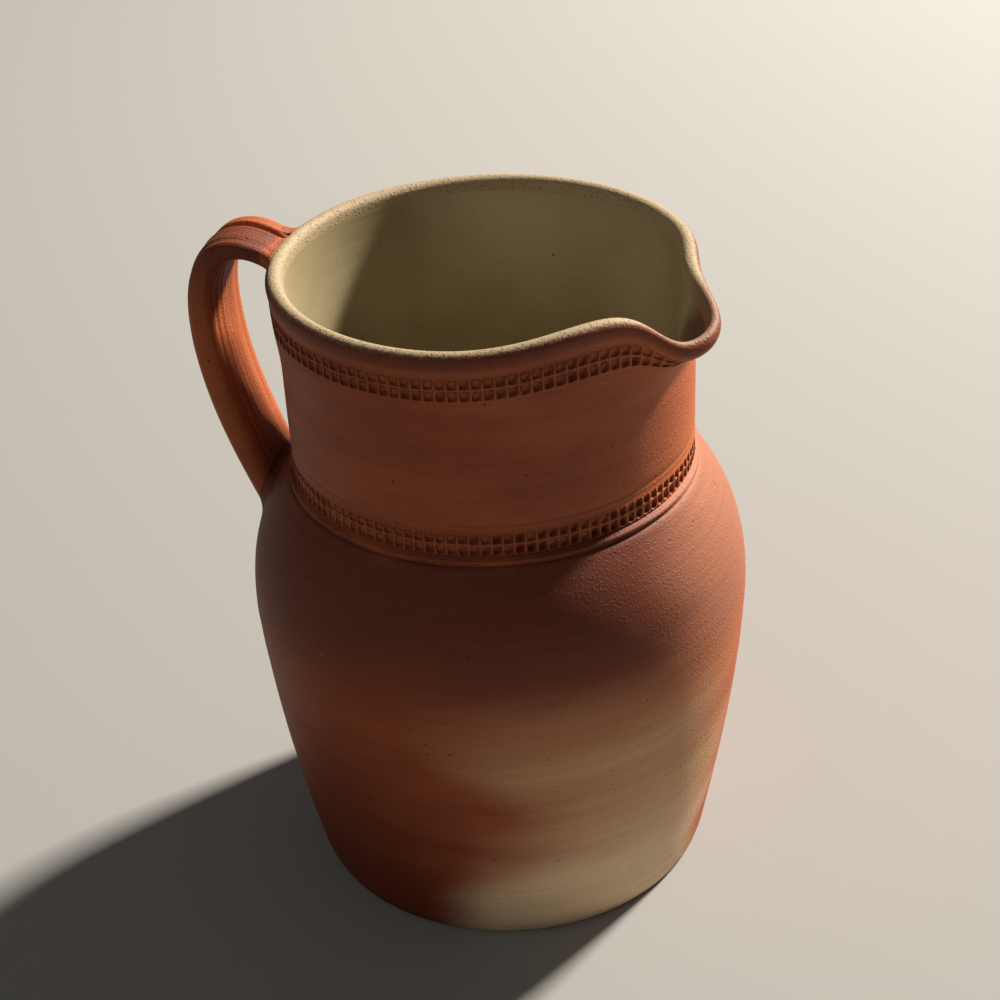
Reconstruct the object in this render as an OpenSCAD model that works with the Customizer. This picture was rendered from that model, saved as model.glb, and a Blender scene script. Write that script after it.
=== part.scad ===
// Stoneware pitcher: a thrown belly and neck, a hand-pulled strap handle and a poured liner glaze.
// Millimetres. The origin is the centre of the flat foot, +Z is up and the handle points along -X.

/* [Belly] */
// Radius of the flat foot
foot_r = 64.8; // [63:0.1:66]
// Radius at the widest part of the belly
belly_r = 79.7; // [77:0.1:83]
// Height of the widest part of the belly
belly_z = 97; // [92:1:102]
// Height at which the neck is joined to the shoulder
join_z = 143; // [142.5:0.5:144]
// Thickness of the floor
floor_t = 6.5; // [5:0.1:8]
// Thickness of the belly wall
belly_wall = 5.5; // [4.5:0.1:6.5]

/* [Neck] */
// Outer radius of the neck above the join
neck_r = 63; // [62.6:0.1:63.6]
// Thickness of the neck wall
neck_wall = 4.7; // [4:0.1:5.2]
// Height of the rim above the foot
rim_z = 210; // [208:0.5:214]
// Radius of the rounded roll of the rim
rim_roll = 2.75; // [2.4:0.05:3]
// Depth of the two bands pressed into the neck
band_depth = 0.4; // [0.2:0.1:0.6]

/* [Pouring lip] */
// Direction of the lip, in degrees from +X
lip_angle = -14.5; // [-20:0.5:0]
// How far the lip is pulled out past the rim
lip_reach = 11.5; // [8:0.5:16]
// How far the tip of the lip drops below the rim
lip_drop = 8.5; // [5:0.5:11]
// Half-width of the lip, in degrees
lip_spread = 14.5; // [12:0.5:18]
// How far the rim rises beside the lip, on its clockwise side
throat_rise = 4.2; // [0:0.2:5]

/* [Handle] */
// Width of the pulled strap where it leaves the neck
strap_w = 21.5; // [20:0.5:26]
// Width of the strap at its furthest from the pot
strap_middle_w = 26; // [24:0.5:28]
// Width of the strap where it meets the shoulder
strap_end_w = 27.5; // [24:0.5:30]
// Thickness of the strap where it leaves the neck
strap_t = 7.4; // [7:0.1:10]
// Thickness of the strap at its furthest from the pot
strap_middle_t = 12; // [9:0.1:13]
// Thickness of the strap where it meets the shoulder
strap_end_t = 10.6; // [8:0.1:12]
// Distance of the strap's middle from the axis at its furthest
strap_reach = 89.9; // [89:0.1:92]

/* [Glaze] */
// Thickness of the liner glaze
glaze_t = 0.7; // [0.4:0.1:1]

/* [Hidden] */

// Steps round the turned shapes that the lip bends, and steps along each curve
TURN_STEPS = 72;
CURVE_STEPS = 8;
// The joint is a notch round the outside, which the coil of soft clay fills
notch_depth = 1;
notch_half = 1.6;
coil_stand = 2.3;
// Below this height the lip leaves the neck round
lip_root_z = 180;
rise_root_z = 168;
inner_r = neck_r + 0.1 - neck_wall;
// Middles of the throats either side of the lip, and their widths, in degrees from the lip
rise_at = -30;
rise_spread = 24;
pinch_at = 26;
pinch_spread = 12;
pinch_in = 1.5;
pinch_dip = 1.7;
// The two folds that run into the lip, the steeper one on its clockwise side
near_fold = 5;
near_fold_at = -9.5;
near_fold_spread = 7;
far_fold = 1.2;
far_fold_at = 16;
far_fold_spread = 9;
// Where the glaze stops below the rim, and where the handle leaves the neck
glaze_top_z = rim_z - 4;
strap_top = [61, 202];
strap_foot = [67.8, 112];
strap_middle_z = 184;
// How far the strap sits to one side at its top end, as a hand-stuck handle does
strap_sideways = 2;
STRAP_STEPS = 44;
LUTE_STEPS = 8;
SECTION_STEPS = 24;
// How far each fillet of clay spreads past the strap, at the pot and at its thin end
lute_spread = 5.5;
lute_edge = 0.8;

// One point of a cubic curve through a and d, pulled towards b and c
function curve_point(a, b, c, d, t) =
    pow(1 - t, 3) * a + 3 * pow(1 - t, 2) * t * b + 3 * (1 - t) * t * t * c + pow(t, 3) * d;

// The direction of the same curve
function curve_slope(a, b, c, d, t) =
    pow(1 - t, 2) * (b - a) + 2 * (1 - t) * t * (c - b) + t * t * (d - c);

// The whole curve, without its last point
function curve(a, b, c, d, steps) = [for (i = [0:steps - 1]) curve_point(a, b, c, d, i / steps)];

// Outside of the belly, from the foot up to the notch
foot_edge = [[foot_r, 0], [foot_r + 0.9, 0.5], [foot_r + 1.4, 1.5], [foot_r + 1.9, 3]];
wall_start = [foot_r + 2.4, 4.5];
wide = [belly_r, belly_z];
shoulder_end = [neck_r + 1.7, join_z - notch_half];
belly_outside = concat(
    foot_edge,
    curve(wall_start, [foot_r + 7.4, 29], [belly_r - 1.1, 66], wide, CURVE_STEPS),
    curve(wide, [belly_r, 115], [belly_r - 4.4, 128], shoulder_end, CURVE_STEPS),
    [shoulder_end]
);

// Inside of the belly, from the middle of the floor up to the join
floor_edge = [foot_r - 8, floor_t + 1];
wide_inside = wide - [belly_wall, 0];
join_inside = [inner_r, join_z];
belly_inside = concat(
    [[foot_r - 18, floor_t]],
    curve(floor_edge, [foot_r + 1.7, floor_t + 5.5], wide_inside - [0, 37], wide_inside, CURVE_STEPS),
    curve(wide_inside, wide_inside + [0, 16], wide_inside + [-4.7, 28], join_inside, CURVE_STEPS)
);

// Outside of the neck, with its two pressed bands
notch_r = neck_r - notch_depth;
neck_outside = [
    [notch_r, join_z],
    [notch_r, join_z + notch_half],
    [neck_r - band_depth, join_z + notch_half + 0.2],
    [neck_r - band_depth, 151.6],
    [neck_r, 152.2],
    [neck_r + 0.2, 161],
    [neck_r + 0.2, 176],
    [neck_r + 0.4, 183],
    [neck_r + 0.9, 189],
    [neck_r + 1.7, 194],
    [neck_r + 1.7 - band_depth, 195],
    [neck_r + 1.9 - band_depth, 199],
    [neck_r + 2.0 - band_depth, 202.2],
    [neck_r + 2.2, 203]
];

// The rounded roll of the rim, from its outside over the top
roll_centre = [neck_r - 0.2, rim_z - rim_roll];
rim_arc = [for (a = [0:22.5:180]) roll_centre + rim_roll * [cos(a), sin(a)]];

// Inside of the neck, from the glaze line down to the join
neck_inside = [
    [inner_r + 1.5, glaze_top_z],
    [inner_r + 1.1, rim_z - 7],
    [inner_r + 0.6, rim_z - 12],
    [inner_r + 0.2, rim_z - 19],
    [inner_r, 182],
    [inner_r, 168],
    join_inside
];

// How strongly a height follows the lip: nothing at its root, and all of it under the rim's roll
function share(z, root_z) = max(0, min(1, (z - root_z) / (rim_z - 2 * rim_roll - root_z)));
function lip_share(z) = pow(share(z, lip_root_z), 2);
function rise_share(z) = share(z, rise_root_z);
function bump(angle, middle, spread) = exp(-pow((angle - middle) / spread, 2));

// A turned point at angle a from the lip, moved by the pull of the lip and its two throats
function pulled_r(r, z, a) =
    r + lip_share(z) * (lip_reach * bump(a, 0, lip_spread) - pinch_in * bump(a, pinch_at, pinch_spread));
function pulled_z(z, a) =
    z - lip_share(z) * (
        lip_drop * bump(a, 0, lip_spread) + pinch_dip * bump(a, pinch_at, pinch_spread)
        + near_fold * bump(a, near_fold_at, near_fold_spread) + far_fold * bump(a, far_fold_at, far_fold_spread)
    )
    + rise_share(z) * throat_rise * bump(a, rise_at, rise_spread);
function pulled_point(p, a) = [
    pulled_r(p[0], p[1], a) * cos(a + lip_angle),
    pulled_r(p[0], p[1], a) * sin(a + lip_angle),
    pulled_z(p[1], a)
];

// Angles from the lip, so that one row of points lies along its middle
turn_angles = [for (i = [0:TURN_STEPS - 1]) -180 + i * 360 / TURN_STEPS];
function ring_points(outline) = [for (p = outline, a = turn_angles) pulled_point(p, a)];

// Two triangles for each step between ring j and ring k, whose points start at s
function ring_faces(j, k, s) = [
    for (i = [0:TURN_STEPS - 1], half = [0, 1])
        let (n = (i + 1) % TURN_STEPS, low = s + j * TURN_STEPS, high = s + k * TURN_STEPS)
            half == 0 ? [low + i, high + i, high + n] : [low + i, high + n, low + n]
];

// A turned wall whose outline closes on itself
module pulled_ring(outline) {
    rings = len(outline);
    polyhedron(
        points = ring_points(outline),
        faces = [for (j = [0:rings - 1], f = ring_faces(j, (j + 1) % rings, 0)) f],
        convexity = 6
    );
}

// A turned skin that starts and ends on the axis, at heights low_z and high_z
module pulled_bowl(outline, low_z, high_z) {
    rings = len(outline);
    last = 1 + rings * TURN_STEPS;
    polyhedron(
        points = concat([[0, 0, low_z]], ring_points(outline), [[0, 0, high_z]]),
        faces = concat(
            [for (i = [0:TURN_STEPS - 1]) [0, 1 + i, 1 + (i + 1) % TURN_STEPS]],
            [for (j = [0:rings - 2], f = ring_faces(j, j + 1, 1)) f],
            [for (i = [0:TURN_STEPS - 1]) [last, last - TURN_STEPS + (i + 1) % TURN_STEPS, last - TURN_STEPS + i]]
        ),
        convexity = 6
    );
}

// The middle line of the strap: an arch from the neck, then a long drop to the shoulder
arch = [strap_top, [69, 211], [strap_reach + 1.1, 218.5], [strap_reach, strap_middle_z]];
drop = [arch[3], [strap_reach - 0.8, 160], [79.6, 138.5], strap_foot];
function strap_curve(u) = u <= 1
    ? curve_point(arch[0], arch[1], arch[2], arch[3], u)
    : curve_point(drop[0], drop[1], drop[2], drop[3], u - 1);
function strap_slope(u) = u <= 1
    ? curve_slope(arch[0], arch[1], arch[2], arch[3], u)
    : curve_slope(drop[0], drop[1], drop[2], drop[3], u - 1);

// A rounded bar section at u along the strap, grown by the amount grow
function softened(x) = sign(x) * pow(abs(x), 0.6);
function eased(x, low, high) =
    let (t = max(0, min(1, (x - low) / (high - low)))) t * t * (3 - 2 * t);
function strap_ring(u, grow) =
    let (
        middle = strap_curve(u),
        along = strap_slope(u) / norm(strap_slope(u)),
        wide = strap_w + (strap_middle_w - strap_w) * eased(u, 0, 1.1)
            + (strap_end_w - strap_middle_w) * eased(u, 1.2, 2),
        thick = strap_t + (strap_middle_t - strap_t) * eased(u, 0.2, 1.1)
            + (strap_end_t - strap_middle_t) * eased(u, 1.4, 2)
    )
    [for (i = [0:SECTION_STEPS - 1])
        let (
            a = i * 360 / SECTION_STEPS,
            side = (wide / 2 + grow) * softened(cos(a)) + strap_sideways * (1 - u / 2),
            out = (thick / 2 + grow) * softened(sin(a))
        )
        [-(middle[0] + out * -along[1]), side, middle[1] + out * along[0]]
    ];

// Two triangles for each step between ring j and ring k of n points
function skin_faces(j, k, n) = [
    for (i = [0:n - 1], half = [0, 1])
        let (m = (i + 1) % n, low = j * n, high = k * n)
            half == 0 ? [low + i, high + i, high + m] : [low + i, high + m, low + m]
];

// The strap itself, closed by a flat face at each end
module strap() {
    rings = [for (i = [0:STRAP_STEPS]) strap_ring(2 * i / STRAP_STEPS, 0)];
    n = SECTION_STEPS;
    polyhedron(
        points = [for (ring = rings, p = ring) p],
        faces = concat(
            [[for (i = [0:n - 1]) i]],
            [for (j = [0:STRAP_STEPS - 1], f = skin_faces(j, j + 1, n)) f],
            [[for (i = [n - 1:-1:0]) STRAP_STEPS * n + i]]
        ),
        convexity = 6
    );
}

// A collar round the strap from step first to step last, as thick as these amounts at its two ends
module collar(first, last, grow_first, grow_last) {
    steps = last - first;
    outer = [for (i = [0:steps])
        let (x = i / steps)
            strap_ring(2 * (first + i) / STRAP_STEPS, grow_first * pow(1 - x, 2) + grow_last * pow(x, 2))
    ];
    inner = [for (i = [steps:-1:0]) strap_ring(2 * (first + i) / STRAP_STEPS, 0)];
    rings = concat(outer, inner);
    polyhedron(
        points = [for (ring = rings, p = ring) p],
        faces = [for (j = [0:len(rings) - 1], f = skin_faces(j, (j + 1) % len(rings), SECTION_STEPS)) f],
        convexity = 6
    );
}

// The solid shape of the pot's outside, used to fit the handle to it
module pot_outside() {
    rotate_extrude($fn = TURN_STEPS)
        polygon(concat(
            [[0, 0]],
            belly_outside,
            [for (p = neck_outside) if (p[1] > join_z + notch_half) p],
            [[neck_r + 2.4, rim_z - rim_roll], [neck_r + 2.4, rim_z + 12], [0, rim_z + 12]]
        ));
}

module thrown_belly() {
    color([0.46, 0.22, 0.13])
        rotate_extrude($fn = 120)
            polygon(concat(
                [[0, 0]],
                belly_outside,
                [[notch_r, join_z - notch_half], [notch_r, join_z], join_inside],
                [for (i = [len(belly_inside) - 1:-1:0]) belly_inside[i]],
                [[0, floor_t]]
            ));
}

module thrown_neck() {
    color([0.44, 0.2, 0.12])
        pulled_ring(concat(neck_outside, rim_arc, neck_inside));
}

module join_coil() {
    color([0.4, 0.17, 0.1])
        rotate_extrude($fn = 120)
            polygon([
                [notch_r, join_z - notch_half],
                [neck_r + 1.7, join_z - notch_half],
                [notch_r + coil_stand + 0.7, join_z - 0.6],
                [notch_r + coil_stand, join_z + 0.4],
                [neck_r - 0.2, join_z + notch_half],
                [notch_r, join_z + notch_half]
            ]);
}

module pulled_handle() {
    color([0.5, 0.24, 0.14])
        difference() {
            strap();
            pot_outside();
        }
}

// A flared fillet of clay smoothed round the strap where it meets the neck
module top_lute() {
    color([0.42, 0.19, 0.12])
        difference() {
            collar(1, 1 + LUTE_STEPS, lute_spread, lute_edge);
            pot_outside();
        }
}

// The same on the shoulder, where the end of the strap is pressed down
module foot_lute() {
    color([0.42, 0.19, 0.12])
        difference() {
            collar(STRAP_STEPS - 1 - LUTE_STEPS, STRAP_STEPS - 1, lute_edge, lute_spread);
            pot_outside();
        }
}

module liner_glaze() {
    wall = concat(belly_inside, [for (i = [len(neck_inside) - 1:-1:0]) neck_inside[i]]);
    skin = [for (i = [len(wall) - 1:-1:0]) wall[i] + [-glaze_t, wall[i][1] < belly_z / 4 ? glaze_t : 0]];
    color([0.4, 0.37, 0.27])
        pulled_bowl(concat(wall, skin), floor_t, floor_t + glaze_t);
}

thrown_belly();
thrown_neck();
join_coil();
pulled_handle();
top_lute();
foot_lute();
liner_glaze();
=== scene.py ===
# %% [markdown]
# # A stoneware pitcher
# This lesson builds the looks of a thrown pitcher around a fixed frame of plain solids.
# The frame says where each piece is and how big it is. Every piece made here stands in for
# one of those solids, so nothing is moved or resized by hand. Lengths are in metres.

import math
import random

import bmesh
import bpy
from mathutils import Matrix, Vector, noise
from mathutils.geometry import interpolate_bezier


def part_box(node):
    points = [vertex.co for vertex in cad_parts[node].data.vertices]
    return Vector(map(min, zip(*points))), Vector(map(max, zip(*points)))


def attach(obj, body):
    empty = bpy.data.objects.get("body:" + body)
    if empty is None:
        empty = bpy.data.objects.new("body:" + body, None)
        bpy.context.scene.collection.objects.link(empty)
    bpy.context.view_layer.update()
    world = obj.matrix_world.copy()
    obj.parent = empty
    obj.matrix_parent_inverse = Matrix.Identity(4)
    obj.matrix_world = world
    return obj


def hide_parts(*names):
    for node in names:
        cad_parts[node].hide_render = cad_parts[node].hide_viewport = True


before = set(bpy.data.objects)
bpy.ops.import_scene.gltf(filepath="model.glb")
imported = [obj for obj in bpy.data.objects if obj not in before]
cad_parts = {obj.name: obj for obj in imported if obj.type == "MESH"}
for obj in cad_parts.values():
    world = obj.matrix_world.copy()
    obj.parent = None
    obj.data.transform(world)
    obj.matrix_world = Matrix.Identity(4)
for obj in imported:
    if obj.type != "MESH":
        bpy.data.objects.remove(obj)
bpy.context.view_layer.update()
MM = 0.001
print("nodes in the frame:", sorted(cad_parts))

# %% [markdown]
# ## Camera
# The camera looks down into the mouth from a little above and to one side of the handle's
# plane. A long lens keeps the pot's sides nearly parallel. The camera leans slightly, as
# a hand-held one does, so it gets a small roll of its own.

# %% Camera
CAMERA_TURN = 17.0
CAMERA_DISTANCE = 545.8 * MM
CAMERA_HEIGHT = 460.1 * MM
CAMERA_PITCH = 31.59
CAMERA_ROLL = -3.06
CAMERA_YAW = -0.11
CAMERA_LENS = 72.0
SENSOR_WIDTH = 36.0


def make_camera():
    turn = math.radians(CAMERA_TURN)
    data = bpy.data.cameras.new("camera")
    data.lens = CAMERA_LENS
    data.sensor_width = SENSOR_WIDTH
    data.clip_start = 0.01
    camera = bpy.data.objects.new("camera", data)
    bpy.context.scene.collection.objects.link(camera)
    place = Vector((math.sin(turn), -math.cos(turn), 0)) * CAMERA_DISTANCE
    place.z = CAMERA_HEIGHT
    heading = Matrix.Rotation(turn + math.radians(CAMERA_YAW), 4, "Z")
    look = heading @ Matrix.Rotation(math.radians(90 - CAMERA_PITCH), 4, "X")
    roll = Matrix.Rotation(math.radians(CAMERA_ROLL), 4, "Z")
    camera.matrix_world = Matrix.Translation(place) @ look @ roll
    bpy.context.scene.camera = camera
    return camera


camera = make_camera()
print("camera stands at", [round(v, 3) for v in camera.matrix_world.translation])

# %% [markdown]
# ## Driving sizes
# The pot's outline comes from a few radii and heights. The belly's widest radius and the
# height of the join are read from the frame. The lip's numbers say how far a finger pulled
# the wet rim out and down, and how the rim swells and folds beside it.

# %% Driving sizes
belly_far_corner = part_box("thrown_belly")[1]
JOIN_Z = belly_far_corner.z
BELLY_R = belly_far_corner.y
BELLY_Z = 97 * MM
FOOT_R = 64.8 * MM
NECK_R = 63.0 * MM
RIM_Z = 210 * MM
RIM_ROLL = 2.75 * MM
NECK_INNER_R = 58.4 * MM
ROLL_CENTRE = (NECK_R - 0.2 * MM, RIM_Z - RIM_ROLL)
FLOOR_T = 6.5 * MM
BELLY_WALL = 5.5 * MM
NOTCH_HALF = 1.6 * MM
GLAZE_T = 0.45 * MM
GLAZE_TOP_Z = RIM_Z - 4 * MM

LIP_ANGLE = -14.5
LIP_REACH = 11.5 * MM
LIP_DROP = 8.5 * MM
LIP_SPREAD = 14.5
LIP_ROOT_Z = 180 * MM
RISE_AT = -30.0
RISE_SPREAD = 24.0
RISE = 4.2 * MM
RISE_ROOT_Z = 168 * MM
PINCH_AT = 26.0
PINCH_SPREAD = 12.0
PINCH_IN = 1.5 * MM
PINCH_DIP = 1.7 * MM
NEAR_FOLD_AT = -9.5
NEAR_FOLD_SPREAD = 7.0
NEAR_FOLD = 5 * MM
FAR_FOLD_AT = 16.0
FAR_FOLD_SPREAD = 9.0
FAR_FOLD = 1.2 * MM
LIP_THINNING = 0.32

TURN_STEPS = 120
ROW_TOOTH_H = 3.65 * MM
print("join at %.1f mm, belly radius %.1f mm" % (JOIN_Z / MM, BELLY_R / MM))

# %% [markdown]
# ## Helpers for turned pieces
# A thrown pot is a profile turned about an axis, so each wall starts as a row of points in
# the XZ plane that the spin operator sweeps round. A hand-thrown wall is never quite true:
# a slow wobble and fine throwing lines are added to the points afterwards, because the
# profile alone would look machined.


# %% Helpers for turned pieces
def bend(a, b, c, d, steps):
    """A cubic curve from a to d, pulled towards b and c, without its last point."""
    points = [Vector((p[0], 0, p[1])) for p in (a, b, c, d)]
    return [(p.x, p.z) for p in interpolate_bezier(*points, steps + 1)[:-1]]


def arc(centre, radius, start, stop, steps):
    """Points round a circle, from start to stop in degrees."""
    angles = [math.radians(start + (stop - start) * i / steps) for i in range(steps + 1)]
    x, z = centre
    return [(x + radius * math.cos(a), z + radius * math.sin(a)) for a in angles]


def spun(profile, steps, closed):
    """Turns a profile of (radius, height) points about the axis. A closed one makes a ring."""
    bm = bmesh.new()
    verts = [bm.verts.new((r, 0, z)) for r, z in profile]
    edges = [bm.edges.new(pair) for pair in zip(verts, verts[1:])]
    if closed:
        edges.append(bm.edges.new((verts[-1], verts[0])))
    bmesh.ops.spin(
        bm, geom=verts + edges, cent=(0, 0, 0), axis=(0, 0, 1), dvec=(0, 0, 0),
        angle=math.tau, steps=steps, use_merge=True, use_duplicate=False,
    )
    bmesh.ops.remove_doubles(bm, verts=bm.verts, dist=0.02 * MM)
    bmesh.ops.recalc_face_normals(bm, faces=bm.faces)
    return bm


def smooth_step(x, low, high):
    t = max(0.0, min(1.0, (x - low) / (high - low)))
    return t * t * (3 - 2 * t)


def bell(x, middle, spread):
    return math.exp(-(((x - middle) / spread) ** 2))


def lip_turn(co):
    """The angle of a point from the middle of the lip, from -180 to 180 degrees."""
    return (math.degrees(math.atan2(co.y, co.x)) - LIP_ANGLE + 180) % 360 - 180


def pull_share(z, root):
    return max(0.0, min(1.0, (z - root) / (RIM_Z - 2 * RIM_ROLL - root)))


def pull_lip(co):
    """Moves a turned point as the potter's fingers do when they pull the lip."""
    turn = lip_turn(co)
    lip = pull_share(co.z, LIP_ROOT_Z) ** 2
    rise = pull_share(co.z, RISE_ROOT_Z)
    middle = bell(turn, 0, LIP_SPREAD)
    pinch = bell(turn, PINCH_AT, PINCH_SPREAD)
    out = lip * (LIP_REACH * middle - PINCH_IN * pinch)
    down = LIP_DROP * middle + PINCH_DIP * pinch
    down += NEAR_FOLD * bell(turn, NEAR_FOLD_AT, NEAR_FOLD_SPREAD)
    down += FAR_FOLD * bell(turn, FAR_FOLD_AT, FAR_FOLD_SPREAD)
    radial = Vector((co.x, co.y, 0)).normalized()
    over_middle = math.hypot(co.x, co.y) - ROLL_CENTRE[0]
    out -= over_middle * LIP_THINNING * lip * middle
    swell = rise * RISE * bell(turn, RISE_AT, RISE_SPREAD)
    return co + radial * out + Vector((0, 0, swell - lip * down))


WOBBLE = 0.22 * MM
WOBBLE_HEIGHT = 60 * MM
LINE_DEPTH = 0.075 * MM
LINE_PITCH = 1.7 * MM
SMOOTH_LEVEL = 1


def hand_throw(co):
    """A slow wobble round the wall, and throwing lines that climb it very slightly."""
    radius = math.hypot(co.x, co.y)
    if radius < 20 * MM:
        return co
    turn = math.atan2(co.y, co.x)
    slow = noise.noise(Vector((math.cos(turn), math.sin(turn), co.z / WOBBLE_HEIGHT)) * 1.3)
    climb = co.z + turn * 0.35 * MM
    lines = noise.noise(Vector((math.cos(turn) * 0.35, math.sin(turn) * 0.35, climb / LINE_PITCH)))
    return co + Vector((co.x, co.y, 0)) / radius * (WOBBLE * slow + LINE_DEPTH * lines)


def place_piece(name, bm, node):
    """Makes the object, smooths it, hangs it under the root and hides the solid of the frame that it
    stands for.
    """
    mesh = bpy.data.meshes.new(name)
    bm.to_mesh(mesh)
    bm.free()
    mesh.polygons.foreach_set("use_smooth", [True] * len(mesh.polygons))
    piece = bpy.data.objects.new(name, mesh)
    bpy.context.scene.collection.objects.link(piece)
    smooth = piece.modifiers.new("smooth", "SUBSURF")
    smooth.levels = SMOOTH_LEVEL
    smooth.render_levels = SMOOTH_LEVEL
    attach(piece, "root")
    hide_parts(node)
    print(name, "has", len(mesh.polygons), "faces before smoothing")
    return piece


lip_way = Vector((math.cos(math.radians(LIP_ANGLE)), math.sin(math.radians(LIP_ANGLE)), 0))
lip_top = lip_way * ROLL_CENTRE[0] + Vector((0, 0, RIM_Z))
print("the lip's middle is pulled by %.1f mm" % ((pull_lip(lip_top) - lip_top).length / MM))

# %% [markdown]
# ## Belly
# The belly is thrown first: a flat foot, walls that swell and then a shoulder that comes in
# to the neck. One closed profile, outside and inside, gives the wall its real thickness.
# Close points keep the throwing lines sharp on the outside; the inside is hidden by glaze.

# %% Belly
WIDE = (BELLY_R, BELLY_Z)
WALL_START = (FOOT_R + 2.4 * MM, 4.5 * MM)
SHOULDER_END = (NECK_R + 1.7 * MM, JOIN_Z - NOTCH_HALF)
SHOULDER_IN = BELLY_R - 4.4 * MM


def belly_outside(low_steps, high_steps):
    foot = [
        (FOOT_R, 0), (FOOT_R + 0.55 * MM, 0.15 * MM), (FOOT_R + 1.0 * MM, 0.6 * MM),
        (FOOT_R + 1.4 * MM, 1.5 * MM), (FOOT_R + 1.9 * MM, 3 * MM),
    ]
    low_pull, high_pull = (FOOT_R + 7.4 * MM, 29 * MM), (BELLY_R - 1.1 * MM, 66 * MM)
    wall = bend(WALL_START, low_pull, high_pull, WIDE, low_steps)
    shoulder = bend(WIDE, (BELLY_R, 115 * MM), (SHOULDER_IN, 128 * MM), SHOULDER_END, high_steps)
    return foot + wall + shoulder + [SHOULDER_END]


def belly_inside(steps):
    wide = (WIDE[0] - BELLY_WALL, BELLY_Z)
    floor_edge = (FOOT_R - 8 * MM, FLOOR_T + 1 * MM)
    corner = (FOOT_R + 1.7 * MM, FLOOR_T + 5.5 * MM)
    lower = bend(floor_edge, corner, (wide[0], BELLY_Z - 37 * MM), wide, steps)
    bulge = (wide[0] - 4.7 * MM, BELLY_Z + 28 * MM)
    upper = bend(wide, (wide[0], BELLY_Z + 16 * MM), bulge, (NECK_INNER_R, JOIN_Z), steps)
    return [(FOOT_R - 18 * MM, FLOOR_T)] + lower + upper


def make_belly():
    outside = belly_outside(62, 36)
    notch_r = NECK_R - 1 * MM
    seam = [(notch_r, JOIN_Z - NOTCH_HALF), (notch_r, JOIN_Z), (NECK_INNER_R, JOIN_Z)]
    inside = belly_inside(12)[::-1]
    floor = [(FOOT_R - 40 * MM, FLOOR_T), (0, FLOOR_T)]
    under = [(0, 0), (FOOT_R - 30 * MM, 0), (FOOT_R - 2 * MM, 0)]
    bm = spun(under + outside + seam + inside + floor, TURN_STEPS, closed=False)
    for vert in bm.verts:
        if vert.co.z > 2 * MM and math.hypot(vert.co.x, vert.co.y) > NECK_R:
            vert.co = hand_throw(vert.co)
    return place_piece("belly_wall", bm, "thrown_belly")


belly = make_belly()

# %% [markdown]
# ## Neck, rim and lip
# The neck is straight and ends in a soft rolled rim. It carries two bands, each of two rows
# of small rectangular pits, that a toothed wheel pressed into the wet clay. Each pit is one
# face of the turned wall: inset, pushed in and tilted, so the ridges between pits stay at
# the surface. The ridge between two rows is then worn low in patches, because no wheel
# presses evenly. The lip is pulled last, and bends the upper band with it, as on a real pot.

# %% Neck, rim and lip
LOWER_ROW_Z = JOIN_Z + NOTCH_HALF - 0.1 * MM
UPPER_ROW_Z = 195.3 * MM
TOOTH_RIDGE = 0.2 * MM
TOOTH_DEPTH = 1.15 * MM
TOOTH_LEAN = 0.32 * MM
TOOTH_SLANT = 0.22 * MM
TOOTH_HALF = 1.1 * MM
PIT_SHARPNESS = 0.8
# Each cut of a pit: how far it is inset, and how far it is pushed in
PIT_CUTS = ((TOOTH_RIDGE, 0), (0.1 * MM, -0.12 * MM), (0.16 * MM, -TOOTH_DEPTH * 0.6), (0.2 * MM, 0))
FIRM_TURN = -10.0
RIDGE_LOSS = 0.55 * MM


def neck_outside():
    low, high = LOWER_ROW_Z, UPPER_ROW_Z
    row = ROW_TOOTH_H
    bump = 0.25 * MM
    low_band = [
        (NECK_R - 1 * MM, JOIN_Z), (NECK_R - 1 * MM, low - 0.7 * MM),
        (NECK_R - 0.25 * MM, low - 0.35 * MM), (NECK_R + bump, low),
        (NECK_R + bump, low + row), (NECK_R + bump, low + 2 * row),
        (NECK_R - 0.1 * MM, low + 2 * row + 0.5 * MM), (NECK_R, 153.2 * MM),
    ]
    incised = [(NECK_R, 154.0 * MM), (NECK_R - 0.35 * MM, 154.5 * MM), (NECK_R, 155.0 * MM)]
    plain = [(NECK_R + 0.2 * MM, (157 + 2.2 * i) * MM) for i in range(12)]
    flare = [
        (NECK_R + 0.35 * MM, 183.5 * MM), (NECK_R + 0.55 * MM, 186 * MM),
        (NECK_R + 0.9 * MM, 189 * MM), (NECK_R + 1.3 * MM, 191.7 * MM),
        (NECK_R + 1.55 * MM, 193.6 * MM), (NECK_R + 1.45 * MM, 194.8 * MM),
    ]
    top_band = [
        (NECK_R + 1.7 * MM, high), (NECK_R + 1.85 * MM, high + row),
        (NECK_R + 1.95 * MM, high + 2 * row), (NECK_R + 1.75 * MM, high + 2 * row + 0.5 * MM),
        (NECK_R + 2.05 * MM, high + 2 * row + 1.1 * MM),
    ]
    return low_band + incised + plain + flare + top_band


def neck_inside():
    inner = NECK_INNER_R
    return [
        (inner + 1.5 * MM, GLAZE_TOP_Z), (inner + 1.1 * MM, RIM_Z - 7 * MM),
        (inner + 0.6 * MM, RIM_Z - 12 * MM), (inner + 0.2 * MM, RIM_Z - 19 * MM),
        (inner, 182 * MM), (inner, 168 * MM), (inner, 155 * MM), (inner, JOIN_Z),
    ]


def row_faces(bm):
    """The faces of the turned wall that lie in the four rows, one for each pit."""
    rows = [z + i * ROW_TOOTH_H for z in (LOWER_ROW_Z, UPPER_ROW_Z) for i in (0, 1)]
    faces = []
    for face in bm.faces:
        middle = face.calc_center_median()
        outer = math.hypot(middle.x, middle.y) > NECK_R - 0.5 * MM
        if outer and any(0 < middle.z - z < ROW_TOOTH_H and len(face.verts) == 4 for z in rows):
            heights = [v.co.z for v in face.verts]
            if max(heights) - min(heights) > 0.9 * ROW_TOOTH_H:
                faces.append(face)
    return faces


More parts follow.
